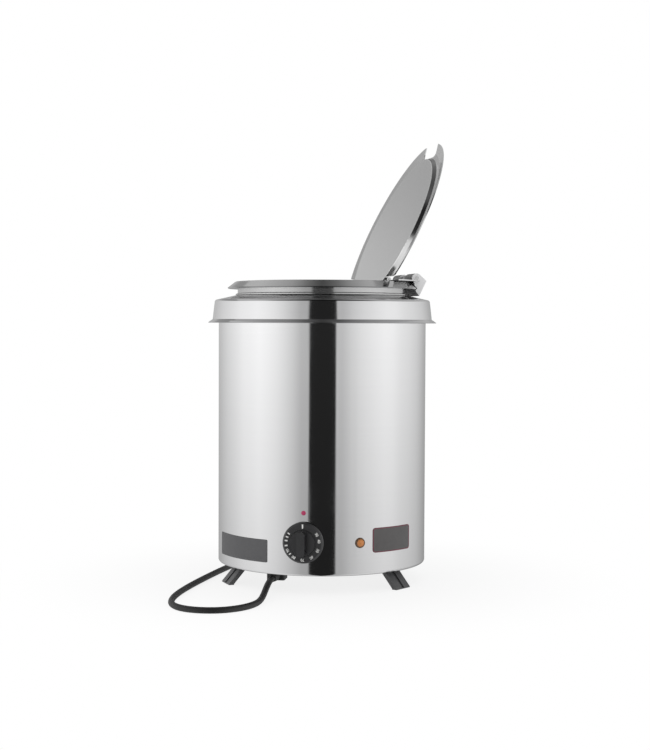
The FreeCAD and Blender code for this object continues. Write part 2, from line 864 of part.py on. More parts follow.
# Thermostat: the switch block behind the jacket, on a bent strap
switch_front = "jacket_radius - jacket_wall - thermostat_gap"
switch_block = rounded_box(
    "SwitchBlock",
    "thermostat_width",
    "thermostat_width",
    "thermostat_depth",
    ("-thermostat_width / 2", "-thermostat_width / 2", "-thermostat_depth"),
    "thermostat_gap",
    2,
)
switch_bore = cylinder("SwitchBore", "shaft_radius + running_gap", "thermostat_depth", ("0", "0", "-thermostat_depth * 0.6"))
switch = node(cut("Switch", switch_block, [switch_bore]), "thermostat")
switch.Placement = facing(size("knob_azimuth"), size("knob_height"), size(switch_front))

strap_plate = box(
    "StrapPlate",
    "bracket_strap",
    "thermostat_width * 1.7",
    "thermostat_width * 0.5",
    ("0", "-thermostat_width * 0.85", "-thermostat_width * 0.25"),
)
strap_bore = cylinder("StrapBore", "shaft_hole", "4 * bracket_strap", ("-bracket_strap", "0", "0"), (1, 0, 0))
jacket_inside = cylinder("JacketInside", "jacket_radius - jacket_wall", "thermostat_width", ("0", "0", "-thermostat_width / 2"))
strap_flat = cut("StrapFlat", strap_plate, [strap_bore])
strap_flat.Placement = FreeCAD.Placement(vector(size(switch_front), 0, 0), FreeCAD.Rotation())
strap = node(common("Strap", strap_flat, jacket_inside), "thermostat_strap")
strap.Placement = turned(size("knob_azimuth")).multiply(
    FreeCAD.Placement(vector(0, 0, size("knob_height")), FreeCAD.Rotation())
)

# Pilot lamp: a bezel through the jacket, an amber lens and the lamp holder behind
lamp_place = facing(size("lamp_azimuth"), size("lamp_height"), size("jacket_radius + seat_gap"))
lamp_bezel = node(
    revolved(
        "LampBezel",
        [
            ("lamp_lens_radius", "0 - jacket_wall * 2"),
            ("lamp_barrel_radius", "0 - jacket_wall * 2"),
            ("lamp_barrel_radius", "0"),
            ("lamp_bezel_radius", "0"),
            ("lamp_bezel_radius - lamp_bezel_thick * 0.4", "lamp_bezel_thick"),
            ("lamp_lens_radius", "lamp_bezel_thick"),
        ],
    ),
    "lamp_bezel",
)
lamp_bezel.Placement = lamp_place
lamp_lens = node(
    revolved(
        "LampLens",
        [
            ("0", "0 - jacket_wall * 2"),
            ("lamp_lens_radius", "0 - jacket_wall * 2"),
            ("lamp_lens_radius", "lamp_bezel_thick"),
            ("lamp_lens_radius * 0.7", "lamp_bezel_thick * 1.9"),
            ("0", "lamp_bezel_thick * 2.3"),
        ],
    ),
    "lamp_lens",
)
lamp_lens.Placement = lamp_place
lamp_holder = cylinder("LampHolder", "lamp_barrel_radius", "lamp_length")
lamp_holder.Placement = facing(
    size("lamp_azimuth"), size("lamp_height"), size("jacket_radius + seat_gap - jacket_wall * 2 - lamp_length")
)
node(lamp_holder, "lamp_holder")


def jacket_plate(name, label, azimuth, height, width, tall, corner):
    """A thin plate with rounded corners, curved to lie on the jacket."""
    face = rounded_box(
        name + "Face", "jacket_radius", width, tall, ("jacket_radius / 2", f"-{width} / 2", f"-{tall} / 2"), corner, 0
    )
    skin = revolved(
        name + "Skin",
        [
            ("jacket_radius + plate_glue", f"0 - {tall}"),
            ("jacket_radius + plate_glue + plate_skin", f"0 - {tall}"),
            ("jacket_radius + plate_glue + plate_skin", tall),
            ("jacket_radius + plate_glue", tall),
        ],
    )
    piece = node(common(name, face, skin), label)
    piece.Placement = turned(size(azimuth)).multiply(
        FreeCAD.Placement(vector(0, 0, size(height)), FreeCAD.Rotation())
    )


# Plates on the jacket: a small badge plate on the right and a longer notice plate on the left
jacket_plate("Badge", "badge_plate", "badge_azimuth", "badge_height", "badge_width", "badge_tall", "badge_round")
jacket_plate("Notice", "notice_plate", "notice_azimuth", "notice_height", "notice_width", "notice_tall", "notice_round")

# Heater: a sheathed ring under the bath's floor, held up by a spreader plate on one stud
heater_ring = doc.addObject("Part::Torus", "HeaterRing")
heater_ring.setExpression("Radius1", bound("heater_radius"))
heater_ring.setExpression("Radius2", bound("heater_tube"))
placed(heater_ring, "0", "0", "bath_floor - heater_tube")
node(heater_ring, "heater_ring")
spreader_top = "bath_floor - 2 * heater_tube"
spreader = revolved(
    "Spreader",
    [
        ("stud_radius + seat_gap", spreader_top + " - heater_plate_thick"),
        ("heater_plate_radius", spreader_top + " - heater_plate_thick"),
        ("heater_plate_radius", spreader_top),
        ("stud_radius + seat_gap", spreader_top),
    ],
)
node(spreader, "heater_plate")
stud_length = "2 * heater_tube + heater_plate_thick + nut_height * 1.5"
node(
    cylinder("Stud", "stud_radius", stud_length, ("0", "0", "bath_floor - (" + stud_length + ")")),
    "heater_stud",
)
nut = doc.addObject("Part::Prism", "NutBlank")
nut.Polygon = 6
nut.setExpression("Circumradius", bound("nut_radius"))
nut.setExpression("Height", bound("nut_height"))
placed(nut, "0", "0", spreader_top + " - heater_plate_thick - nut_height")
nut_bore = cylinder(
    "NutBore", "stud_radius", "3 * nut_height", ("0", "0", spreader_top + " - heater_plate_thick - 2 * nut_height")
)
node(cut("Nut", nut, [nut_bore]), "heater_nut")

# Sensing bulb: the thermostat's feeler, clipped upright on the bath's wall
bulb_centre = vector(size("bath_radius + bath_wall + bulb_radius"), 0, size("bath_floor + bath_round * 2"))
bulb = node(cylinder("Bulb", "bulb_radius", "bulb_length"), "sensing_bulb")
bulb.Placement = turned(-70).multiply(FreeCAD.Placement(bulb_centre, FreeCAD.Rotation()))

# Terminal block: joins the lead to the thermostat and heater, on the base plate
terminal = rounded_box(
    "Terminal",
    "terminal_length",
    "terminal_width",
    "terminal_height",
    ("-terminal_length / 2", "-terminal_width * 1.5", "base_height + jacket_wall + plate_thick"),
    "terminal_width / 8",
    2,
)
node(terminal, "terminal_block")

# Lead outlet: a small housing under the base with a tapered boot for the lead
cord_start = vector(*CORD_POINTS[0])
outlet_top = size("base_height + jacket_wall")
outlet = rounded_box(
    "Outlet",
    "outlet_width",
    "outlet_length",
    "outlet_height",
    ("-outlet_width / 2", "0", "0 - outlet_height"),
    "outlet_width / 8",
    2,
)
outlet.Placement = FreeCAD.Placement(
    vector(cord_start.x, cord_start.y + size("boot_length"), outlet_top), FreeCAD.Rotation()
)
node(outlet, "lead_outlet")
boot = node(
    revolved(
        "Boot",
        [
            ("0", "0"),
            ("boot_radius", "0"),
            ("boot_radius", "boot_length * 0.2"),
            ("cord_diameter / 2 + 1", "boot_length"),
            ("0", "boot_length"),
        ],
    ),
    "cord_boot",
)
boot.Placement = FreeCAD.Placement(
    vector(cord_start.x, cord_start.y + size("boot_length"), cord_start.z),
    FreeCAD.Rotation(vector(0, 0, 1), vector(0, -1, 0)),
)


def arc_through_corner(start, corner, end):
    """The arc from start to end whose tangents meet at the corner."""
    middle = (start + end) * 0.5
    rise = corner - middle
    reach = (corner - start).Length
    half_chord = (end - start).Length / 2
    turn = math.acos(min(1.0, half_chord / reach))
    radius = half_chord / math.sin(turn)
    peak = middle + rise * (radius * (1 - math.cos(turn)) / rise.Length)
    return Part.Arc(start, peak, end).toShape(), radius


def soft_route(points):
    """Straight runs joined by the largest even arcs, as one wire, with the arcs' radii."""
    edges, radii = [], []
    here = points[0]
    for before, corner, after in zip(points, points[1:], points[2:]):
        reach = 0.45 * min((corner - before).Length, (after - corner).Length)
        start = corner + (before - corner).normalize() * reach
        end = corner + (after - corner).normalize() * reach
        edges.append(Part.LineSegment(here, start).toShape())
        arc, radius = arc_through_corner(start, corner, end)
        edges.append(arc)
        radii.append(radius)
        here = end
    edges.append(Part.LineSegment(here, points[-1]).toShape())
    return Part.Wire(edges), radii


def tube(wire, start, direction):
    """The lead's round section carried along a wire."""
    section = Part.Wire(Part.makeCircle(size("cord_diameter / 2"), start, direction))
    return wire.makePipeShell([section], True, False)


def swept(name, label, shape):
    obj = doc.addObject("Part::Feature", name)
    obj.Shape = shape
    return node(obj, label)


# Mains lead: leaves the boot, comes down to the table and runs back past the left foot
cord_points = [vector(*point) for point in CORD_POINTS]
cord_wire, cord_radii = soft_route(cord_points)
swept("Cord", "mains_cord", tube(cord_wire, cord_points[0], cord_points[1] - cord_points[0]))
print("cord bend radii:", [round(radius, 1) for radius in cord_radii], "length", round(cord_wire.Length, 1))

# Put-away coil: spirals in on the table, climbs in half a turn and spirals out on top
coil_angle = math.radians(COIL_START_ANGLE)
into_coil = vector(math.sin(coil_angle), -math.cos(coil_angle), 0)
coil_spoke = vector(math.cos(coil_angle), math.sin(coil_angle), 0)
coil_centre = cord_points[-1] + into_coil * size("cord_diameter") - coil_spoke * size("coil_start_radius")
layer_low = cord_points[-1].z
layer_high = layer_low + size("coil_step")
coil_turns = 2 * TURNS_PER_LAYER + CLIMB_TURNS


def coil_point(turns):
    """The lead's centre after a number of turns, clockwise from the coil's start."""
    start, step = size("coil_start_radius"), size("coil_step")
    inner = start - step * TURNS_PER_LAYER
    if turns <= TURNS_PER_LAYER:
        radius, height = start - step * turns, layer_low
    elif turns <= TURNS_PER_LAYER + CLIMB_TURNS:
        part = turns - TURNS_PER_LAYER
        share = part / CLIMB_TURNS
        radius = inner - step * part * (1 - share)
        height = layer_low + (layer_high - layer_low) * share * share * (3 - 2 * share)
    else:
        radius = inner + step * (turns - TURNS_PER_LAYER - CLIMB_TURNS)
        height = layer_high
    angle = coil_angle - 2 * math.pi * turns
    return vector(coil_centre.x + radius * math.cos(angle), coil_centre.y + radius * math.sin(angle), height)


def coil_heading(turns):
    """The lead's direction there, level and square to the spokes at the two ends."""
    if turns in (0, coil_turns):
        angle = coil_angle - 2 * math.pi * turns
        return vector(math.sin(angle), -math.cos(angle), 0)
    nudge = 0.001
    return (coil_point(turns + nudge) - coil_point(turns - nudge)).normalize()


def biarc(start, leaving, end, arriving):
    """Two arcs that join two points along their headings."""
    span, sum_heading = end - start, leaving + arriving
    bend = 2 * (1 - leaving.dot(arriving))
    along = span.dot(sum_heading)
    reach = (math.sqrt(along * along + bend * span.dot(span)) - along) / bend
    first, second = start + leaving * reach, end - arriving * reach
    join = (first + second) * 0.5
    return [arc_through_corner(start, first, join)[0], arc_through_corner(join, second, end)[0]]


QUARTERS = round(4 * coil_turns)
stops = [coil_turns * index / QUARTERS for index in range(QUARTERS + 1)]
straight = size("cord_diameter")
coil_start = coil_point(0) - coil_heading(0) * straight
coil_end = coil_point(coil_turns) + coil_heading(coil_turns) * straight
coil_edges = [Part.LineSegment(coil_start, coil_point(0)).toShape()]
for here, there in zip(stops, stops[1:]):
    coil_edges += biarc(coil_point(here), coil_heading(here), coil_point(there), coil_heading(there))
coil_edges.append(Part.LineSegment(coil_point(coil_turns), coil_end).toShape())
coil_wire = Part.Wire(coil_edges)
swept("Coil", "cord_coil", tube(coil_wire, coil_start, coil_heading(0)))

samples = coil_wire.discretize(Number=600)
apart = 3 * size("cord_diameter")
spacing = coil_wire.Length / (len(samples) - 1)
skip = int(apart / spacing) + 1
least = min(
    (samples[i] - samples[j]).Length for i in range(len(samples)) for j in range(i + skip, len(samples))
)
print("coil length", round(coil_wire.Length, 1), "least gap", round(least - size("cord_diameter"), 2))

# Tail: the short free end between the coil and the mains connector
tail_points = [coil_end] + [coil_end + vector(*step) for step in TAIL_STEPS]
tail_wire, tail_radii = soft_route(tail_points)
swept("Tail", "cord_tail", tube(tail_wire, tail_points[0], tail_points[1] - tail_points[0]))
print("tail bend radii:", [round(radius, 1) for radius in tail_radii], "length", round(tail_wire.Length, 1))

# Coil tie: a flat band round all the turns on the coil's right side
tie_inner = "coil_start_radius - 1.5 * coil_step - cord_diameter / 2"
tie_span = "coil_step + cord_diameter + 2 * coil_lift"
tie_height = "coil_lift + coil_step + cord_diameter + cord_rest"
tie_outside = box(
    "TieOutside",
    tie_span + " + 2 * tie_thick",
    "tie_width",
    tie_height + " + tie_thick",
    (tie_inner + " - tie_thick", "-tie_width / 2", "0"),
)
tie_inside = box("TieInside", tie_span, "2 * tie_width", tie_height + " - tie_thick", (tie_inner, "-tie_width", "tie_thick"))
tie = node(cut("Tie", tie_outside, [tie_inside]), "cord_tie")
tie.Placement = FreeCAD.Placement(vector(coil_centre.x, coil_centre.y, 0), FreeCAD.Rotation())

# Mains connector: a moulded round head with a tapered grip and two pins
plug_body = revolved(
    "PlugBody",
    [
        ("0", "0"),
        ("cord_diameter / 2 + 1", "0"),
        ("plug_grip_radius", "plug_length * 0.35"),
        ("plug_grip_radius", "plug_length - plug_head_length * 1.4"),
        ("plug_head_radius", "plug_length - plug_head_length"),
        ("plug_head_radius", "plug_length"),
        ("0", "plug_length"),
    ],
)
plug_place = FreeCAD.Placement(
    tail_points[-1],
    FreeCAD.Rotation(vector(0, 0, 1), vector(1, 0, 0)),
)
plug = node(plug_body, "mains_plug")
plug.Placement = plug_place
pins = []
for index, side in enumerate((-1, 1)):
    pins.append(
        cylinder(f"PlugPin{index}", "plug_pin_radius", "plug_pin_length", ("0", f"{side} * plug_pin_spread / 2", "plug_length"))
    )
plug_pins = doc.addObject("Part::Compound", "PlugPins")
plug_pins.Links = pins
plug_pins.Placement = plug_place
node(plug_pins, "plug_pins")

doc.recompute()
for obj in doc.Objects:
    if "Invalid" in obj.State or "Error" in obj.State:
        raise RuntimeError(f"{obj.Label} did not build: {obj.State}")
for obj in nodes:
    if obj.Shape.isNull() or not obj.Shape.isValid():
        raise RuntimeError(f"{obj.Label} has no valid shape")

os.makedirs("parts", exist_ok=True)
for obj in nodes:
    obj.Shape.exportStep(f"parts/{obj.Label}.step")
print(len(nodes), "nodes written")
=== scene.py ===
"""Soup kettle: polished steel jacket and collar, lift-out pot, folding cover and front controls."""

import json
import math

import bmesh
import bpy
from mathutils import Euler, Matrix, Vector


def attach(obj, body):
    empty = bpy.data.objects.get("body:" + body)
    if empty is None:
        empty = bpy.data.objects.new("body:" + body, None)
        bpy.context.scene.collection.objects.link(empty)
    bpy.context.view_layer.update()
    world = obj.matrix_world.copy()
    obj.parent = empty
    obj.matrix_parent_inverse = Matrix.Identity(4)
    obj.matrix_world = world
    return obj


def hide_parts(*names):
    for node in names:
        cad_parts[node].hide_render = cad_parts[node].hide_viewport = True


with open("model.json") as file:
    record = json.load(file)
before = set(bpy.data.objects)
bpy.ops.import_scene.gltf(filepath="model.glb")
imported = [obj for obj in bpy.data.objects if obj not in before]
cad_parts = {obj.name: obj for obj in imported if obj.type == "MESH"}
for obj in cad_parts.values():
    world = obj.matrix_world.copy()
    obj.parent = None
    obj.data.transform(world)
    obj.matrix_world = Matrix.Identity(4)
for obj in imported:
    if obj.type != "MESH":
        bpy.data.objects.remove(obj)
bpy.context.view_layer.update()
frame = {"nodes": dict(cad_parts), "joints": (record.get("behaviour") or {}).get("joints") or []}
nodes = frame["nodes"]
scene = bpy.context.scene
scene.view_settings.view_transform = "Standard"

# Camera: level with the drip collar, a little to the right of the dial, looking slightly down
# and held a hair off level, as in the photograph.
CAMERA_LENS = 71.04
CAMERA_PLACE = (0.2779, -1.8594, 0.3257)
CAMERA_TILT = math.radians(87.95)
CAMERA_PAN = math.radians(8.386)
CAMERA_ROLL = math.radians(0.22)
camera = bpy.data.objects.new("camera", bpy.data.cameras.new("camera"))
scene.collection.objects.link(camera)
camera.data.lens = CAMERA_LENS
camera.location = CAMERA_PLACE
aim = Euler((CAMERA_TILT, 0, CAMERA_PAN)).to_matrix()
camera.rotation_euler = (aim @ Matrix.Rotation(CAMERA_ROLL, 3, "Z")).to_euler()
scene.camera = camera

# Table: a pale matt top that takes the kettle's soft shadow. Away from the feet it fades into the
# white surround.
TABLE_REACH = 2.0
TABLE_GREY = 0.86
FADE_REACH = (0.12, 0.42)
WHITE_NEAR_FEET = 0.82


def between(tree, source, low, high, low_value, high_value, course="SMOOTHSTEP"):
    """Leads a value from one level to another while the source goes between two limits."""
    step = tree.nodes.new("ShaderNodeMapRange")
    step.interpolation_type = course
    step.inputs["From Min"].default_value = low
    step.inputs["From Max"].default_value = high
    step.inputs["To Min"].default_value = low_value
    step.inputs["To Max"].default_value = high_value
    tree.links.new(source, step.inputs["Value"])
    return step.outputs["Result"]


def feed(tree, sockets, sources):
    """Gives each socket its source, which is another socket or a plain value."""
    for socket, source in zip(sockets, sources):
        if isinstance(source, bpy.types.NodeSocket):
            tree.links.new(source, socket)
        else:
            socket.default_value = source


def reckon(tree, operation, *sources):
    """One sum of plain values."""
    node = tree.nodes.new("ShaderNodeMath")
    node.operation = operation
    feed(tree, node.inputs, sources)
    return node.outputs[0]


def vector_node(tree, operation, *sources):
    """One sum of vectors."""
    node = tree.nodes.new("ShaderNodeVectorMath")
    node.operation = operation
    feed(tree, node.inputs, sources)
    return node


def seen_or_mirrored(tree):
    """One for a ray from the camera, a mirror or glass, and nothing for light on its way to a surface."""
    path = tree.nodes.new("ShaderNodeLightPath")
    seen = reckon(tree, "ADD", path.outputs["Is Camera Ray"], path.outputs["Is Glossy Ray"])
    return reckon(tree, "ADD", seen, path.outputs["Is Transmission Ray"])


table_mesh = bpy.data.meshes.new("table_top")
table_corners = [
    (side * TABLE_REACH, back * TABLE_REACH, 0) for side, back in ((-1, -1), (1, -1), (1, 1), (-1, 1))
]
table_mesh.from_pydata(table_corners, [], [(0, 1, 2, 3)])
table_top = bpy.data.objects.new("table_top", table_mesh)
scene.collection.objects.link(table_top)
table_top.visible_glossy = False
table_paint = bpy.data.materials.new("table_paint")
table_paint.use_nodes = True
tree = table_paint.node_tree
tree.nodes.clear()
out = tree.nodes.new("ShaderNodeOutputMaterial")
blend = tree.nodes.new("ShaderNodeMixShader")
matt = tree.nodes.new("ShaderNodeBsdfDiffuse")
matt.inputs["Color"].default_value = (TABLE_GREY, TABLE_GREY, TABLE_GREY, 1)
glow = tree.nodes.new("ShaderNodeEmission")
where = tree.nodes.new("ShaderNodeTexCoord")
reach = vector_node(tree, "LENGTH", where.outputs["Object"]).outputs["Value"]
whiteness = between(tree, reach, *FADE_REACH, WHITE_NEAR_FEET, 1)
white_share = reckon(tree, "MULTIPLY", seen_or_mirrored(tree), whiteness)
feed(tree, blend.inputs, (white_share, matt.outputs[0], glow.outputs[0]))
tree.links.new(blend.outputs[0], out.inputs["Surface"])
table_mesh.materials.append(table_paint)

# Light dome: a large sphere of soft light that only polished surfaces show. Its level changes with
# the bearing and the height. A dark screen in front and overhead makes the black stripe that runs
# down the jacket, and a lesser one hangs at the back.
DOME_RADIUS = 3
DOME_HEIGHT = 0.36
DOME_TURN = math.radians(-81.5)
ROUND_STOPS = [
    (-180, 0.30), (-172, 0.42), (-160, 0.62), (-149, 0.70), (-125, 1.0), (-108, 1.17), (-94, 1.33),
    (-82, 1.38), (-70.5, 1.44), (-60, 1.37), (-50, 1.27), (-40.4, 1.12), (-31, 0.94), (-22, 0.72),
    (-13.8, 0.70), (-13.0, 0.025), (14.4, 0.025), (15.2, 0.82), (20.2, 0.75), (27, 0.87), (31.6, 0.97),
    (40.9, 1.10), (50.5, 1.19), (60.5, 1.27), (71, 1.33), (82, 1.31), (94.7, 1.18), (108.7, 1.09),
    (125.7, 0.93), (150.6, 0.57), (165, 0.44), (180, 0.30),
]
OVERHEAD_STOPS = [
    (-1, 0.36), (-0.97, 0.62), (-0.7, 0.66), (-0.5, 0.57), (-0.3, 0.45), (-0.2, 0.31), (-0.15, 0.23),
    (-0.05, 0.12), (0, 0.08), (0.14, 0.19), (0.2, 0.27), (0.28, 0.38), (0.44, 0.52), (0.6, 0.58),
    (1, 0.58),
]
FLOOR_LOSS_HEIGHTS = (-0.287, -0.003)
FLOOR_LOSS = 0.715
ASIDE_DEPTH = 1.15
FRONT_SCREEN = (0.3, 0.6)
FRONT_SCREEN_LEVEL = 0.1
REAR_SCREEN_DEPTH = (-0.9, -0.65)
REAR_SCREEN_WIDTH = (0.08, 0.22)
REAR_SCREEN_LOSS = 0.6
OVERHEAD_HEIGHTS = (0.2, 0.36)


def grey_ramp(tree, source, places):
    """Greys that follow a value between 0 and 1, from pairs of a place and a level."""
    ramp = tree.nodes.new("ShaderNodeValToRGB")
    stops = ramp.color_ramp.elements
    while len(stops) < len(places):
        stops.new(0.5)
    for stop, (place, level) in zip(stops, places):
        stop.position = place
        stop.color = (level, level, level, 1)
    tree.links.new(source, ramp.inputs["Fac"])
    return ramp.outputs["Color"]


dome_shape = bmesh.new()
bmesh.ops.create_uvsphere(dome_shape, u_segments=96, v_segments=48, radius=DOME_RADIUS)
dome_mesh = bpy.data.meshes.new("light_dome")
dome_shape.to_mesh(dome_mesh)
dome_shape.free()
light_dome = bpy.data.objects.new("light_dome", dome_mesh)
scene.collection.objects.link(light_dome)
light_dome.location = (0, 0, DOME_HEIGHT)
light_dome.rotation_euler = (0, 0, DOME_TURN)
light_dome.visible_camera = False
light_dome.visible_diffuse = False
light_dome.visible_shadow = False
dome_glow = bpy.data.materials.new("dome_glow")
dome_glow.use_nodes = True
tree = dome_glow.node_tree
tree.nodes.clear()
out = tree.nodes.new("ShaderNodeOutputMaterial")
glow = tree.nodes.new("ShaderNodeEmission")
where = tree.nodes.new("ShaderNodeTexCoord")
bearing = vector_node(tree, "NORMALIZE", where.outputs["Object"]).outputs[0]
apart = tree.nodes.new("ShaderNodeSeparateXYZ")
tree.links.new(bearing, apart.inputs[0])
front = apart.outputs["X"]
right = apart.outputs["Y"]
up = apart.outputs["Z"]
around = tree.nodes.new("ShaderNodeTexGradient")
around.gradient_type = "RADIAL"
tree.links.new(bearing, around.inputs["Vector"])
round_places = [(0.5 + angle / 360, level) for angle, level in ROUND_STOPS]
round_level = grey_ramp(tree, around.outputs["Fac"], round_places)
floor_level = between(tree, up, *FLOOR_LOSS_HEIGHTS, FLOOR_LOSS, 1, "LINEAR")
low_part = reckon(tree, "MULTIPLY", round_level, floor_level)
aside = reckon(tree, "DIVIDE", right, reckon(tree, "ADD", front, ASIDE_DEPTH))
aside_place = reckon(tree, "ADD", reckon(tree, "MULTIPLY", aside, 0.5), 0.5)
overhead_places = [(0.5 + place / 2, level) for place, level in OVERHEAD_STOPS]
overhead_level = grey_ramp(tree, aside_place, overhead_places)
front_level = between(tree, front, *FRONT_SCREEN, 1, FRONT_SCREEN_LEVEL)
behind = between(tree, front, *REAR_SCREEN_DEPTH, REAR_SCREEN_LOSS, 0)
middle = between(tree, reckon(tree, "ABSOLUTE", right), *REAR_SCREEN_WIDTH, 1, 0)
rear_level = reckon(tree, "SUBTRACT", 1.0, reckon(tree, "MULTIPLY", behind, middle))
high_part = reckon(tree, "MULTIPLY", reckon(tree, "MULTIPLY", overhead_level, front_level), rear_level)
overhead = between(tree, up, *OVERHEAD_HEIGHTS, 0, 1)
low_share = reckon(tree, "MULTIPLY", low_part, reckon(tree, "SUBTRACT", 1.0, overhead))
high_share = reckon(tree, "MULTIPLY", high_part, overhead)
tree.links.new(reckon(tree, "ADD", low_share, high_share), glow.inputs["Strength"])
tree.links.new(glow.outputs[0], out.inputs["Surface"])
dome_mesh.materials.append(dome_glow)

# Surround: white on all sides for the eye and for mirrors, and a touch dimmer as the light that
# falls on the kettle.
LIGHT_LEVEL = 0.95
world = bpy.data.worlds.new("white_surround")
scene.world = world
world.use_nodes = True
tree = world.node_tree
surround = tree.nodes["Background"]
surround.inputs["Color"].default_value = (1, 1, 1, 1)
surround_level = between(tree, seen_or_mirrored(tree), 0, 1, LIGHT_LEVEL, 1, "LINEAR")
tree.links.new(surround_level, surround.inputs["Strength"])

# Outer jacket: one sheet of polished stainless steel rolled into a cylinder. Fine polishing lines
# run round it and its shine varies a little from handling.
LINE_RELIEF = 0.0002


def finish_group(name, pattern_input, pattern_kind):
    """Empty node group for a surface finish, with its inputs and outputs."""
    group = bpy.data.node_groups.new(name, "ShaderNodeTree")
    group.interface.new_socket(pattern_input, in_out="INPUT", socket_type=pattern_kind)
    group.interface.new_socket("Shine", in_out="INPUT", socket_type="NodeSocketFloat")
    group.interface.new_socket("Tint", in_out="INPUT", socket_type="NodeSocketColor")
    group.interface.new_socket("Colour", in_out="OUTPUT", socket_type="NodeSocketColor")
    group.interface.new_socket("Roughness", in_out="OUTPUT", socket_type="NodeSocketFloat")
    group.interface.new_socket("Height", in_out="OUTPUT", socket_type="NodeSocketFloat")
    given = group.nodes.new("NodeGroupInput").outputs
    result = group.nodes.new("NodeGroupOutput").inputs
    return group, given, result


def noise(tree, place, scale, detail):
    """Cloudy pattern of values about a half."""
    cloud = tree.nodes.new("ShaderNodeTexNoise")
    feed(tree, (cloud.inputs["Vector"], cloud.inputs["Scale"]), (place, scale))
    cloud.inputs["Detail"].default_value = detail
    return cloud.outputs["Fac"]


def scaled(tree, colour, factor):
    """Colour made lighter or darker by a factor."""
    scale = vector_node(tree, "SCALE", colour)
    tree.links.new(factor, scale.inputs["Scale"])
    return scale.outputs[0]


def finish(name, group, pattern, roughness, tint, relief_strength, relief_depth):
    """Material with one finish group in it, whose height is a shallow relief."""
    material = bpy.data.materials.new(name)
    material.use_nodes = True
    tree = material.node_tree
    shader = tree.nodes["Principled BSDF"]
    marks = tree.nodes.new("ShaderNodeGroup")
    marks.node_tree = group
    feed(tree, marks.inputs, (pattern, roughness, (*tint, 1)))
    relief = tree.nodes.new("ShaderNodeBump")
    relief.inputs["Strength"].default_value = relief_strength
    relief.inputs["Distance"].default_value = relief_depth
    tree.links.new(marks.outputs["Colour"], shader.inputs["Base Color"])
    tree.links.new(marks.outputs["Roughness"], shader.inputs["Roughness"])
    tree.links.new(marks.outputs["Height"], relief.inputs["Height"])
    tree.links.new(relief.outputs["Normal"], shader.inputs["Normal"])
    return material


polish, given, result = finish_group("polishing_lines", "Across", "NodeSocketVector")
where = polish.nodes.new("ShaderNodeTexCoord")
stretched = vector_node(polish, "MULTIPLY", where.outputs["Object"], given["Across"]).outputs[0]
lines = noise(polish, stretched, scale=1, detail=3)
smears = noise(polish, where.outputs["Object"], scale=14, detail=4)
line_gain = between(polish, lines, 0, 1, -0.018, 0.022, "LINEAR")
smear_gain = between(polish, smears, 0.35, 0.75, -0.01, 0.035, "LINEAR")
gain = reckon(polish, "ADD", line_gain, smear_gain)
line_tone = between(polish, lines, 0, 1, 0.975, 1.015, "LINEAR")
polish.links.new(scaled(polish, given["Tint"], line_tone), result["Colour"])
polish.links.new(reckon(polish, "ADD", gain, given["Shine"]), result["Roughness"])
polish.links.new(lines, result["Height"])


def steel(name, tint, roughness, across, line_strength, metal=1.0):
    """Stainless steel whose polishing lines lie square to the largest of the three across numbers."""
    material = finish(name, polish, across, roughness, tint, line_strength, LINE_RELIEF)
    material.node_tree.nodes["Principled BSDF"].inputs["Metallic"].default_value = metal
    return material


def dress(names, material):
    """Gives the solids of the named nodes one finish."""
    for name in names:
        nodes[name].data.materials.clear()
        nodes[name].data.materials.append(material)


jacket_steel = steel("jacket_steel", (0.66, 0.66, 0.665), 0.07, (6, 6, 900), 0.02)
dress(["outer_jacket"], jacket_steel)

# Water bath, base plate and foot screws: plain drawn and pressed steel, left with a dull mill
# finish because the jacket and the pot hide them.
bath_steel = steel("bath_steel", (0.58, 0.58, 0.58), 0.3, (8, 8, 500), 0.06, metal=0.7)
dress(["water_bath", "base_plate", "foot_screws"], bath_steel)

# Heater and wiring under the bath: a sheathed ring held up by an alloy plate on one stud, a brass
# feeler clipped on the bath's wall and a pale plastic terminal block.
GRAIN_RELIEF = 0.0003
grain, given, result = finish_group("moulded_grain", "Fineness", "NodeSocketFloat")
where = grain.nodes.new("ShaderNodeTexCoord")
spots = noise(grain, where.outputs["Object"], scale=given["Fineness"], detail=3)
cloud = noise(grain, where.outputs["Object"], scale=60, detail=2)
rough_gain = between(grain, cloud, 0, 1, -0.06, 0.08, "LINEAR")
cloud_tone = between(grain, cloud, 0, 1, 0.8, 1.25, "LINEAR")
grain.links.new(scaled(grain, given["Tint"], cloud_tone), result["Colour"])
grain.links.new(reckon(grain, "ADD", rough_gain, given["Shine"]), result["Roughness"])
grain.links.new(spots, result["Height"])


def moulding(name, tint, roughness, fineness, relief_strength):
    """Moulded plastic, rubber or paint with a fine surface grain."""
    return finish(name, grain, fineness, roughness, tint, relief_strength, GRAIN_RELIEF)


pin_steel = steel("pin_steel", (0.5, 0.5, 0.5), 0.2, (500, 500, 500), 0.05)
dress(["heater_ring", "heater_stud", "heater_nut"], pin_steel)
plate_alloy = steel("plate_alloy", (0.7, 0.7, 0.71), 0.35, (300, 300, 300), 0.1)
dress(["heater_plate"], plate_alloy)
feeler_brass = steel("feeler_brass", (0.75, 0.56, 0.28), 0.25, (400, 400, 400), 0.05)
dress(["sensing_bulb"], feeler_brass)
pale_plastic = moulding("pale_plastic", (0.75, 0.72, 0.62), 0.5, 900, 0.1)
dress(["terminal_block"], pale_plastic)

# Feet: three splayed legs moulded in black plastic with a fine grain, each held under the base
# plate by a screw from inside.
foot_plastic = moulding("foot_plastic", (0.062, 0.062, 0.064), 0.32, 1800, 0.15)
dress(["foot_front_right", "foot_front_left", "foot_rear"], foot_plastic)

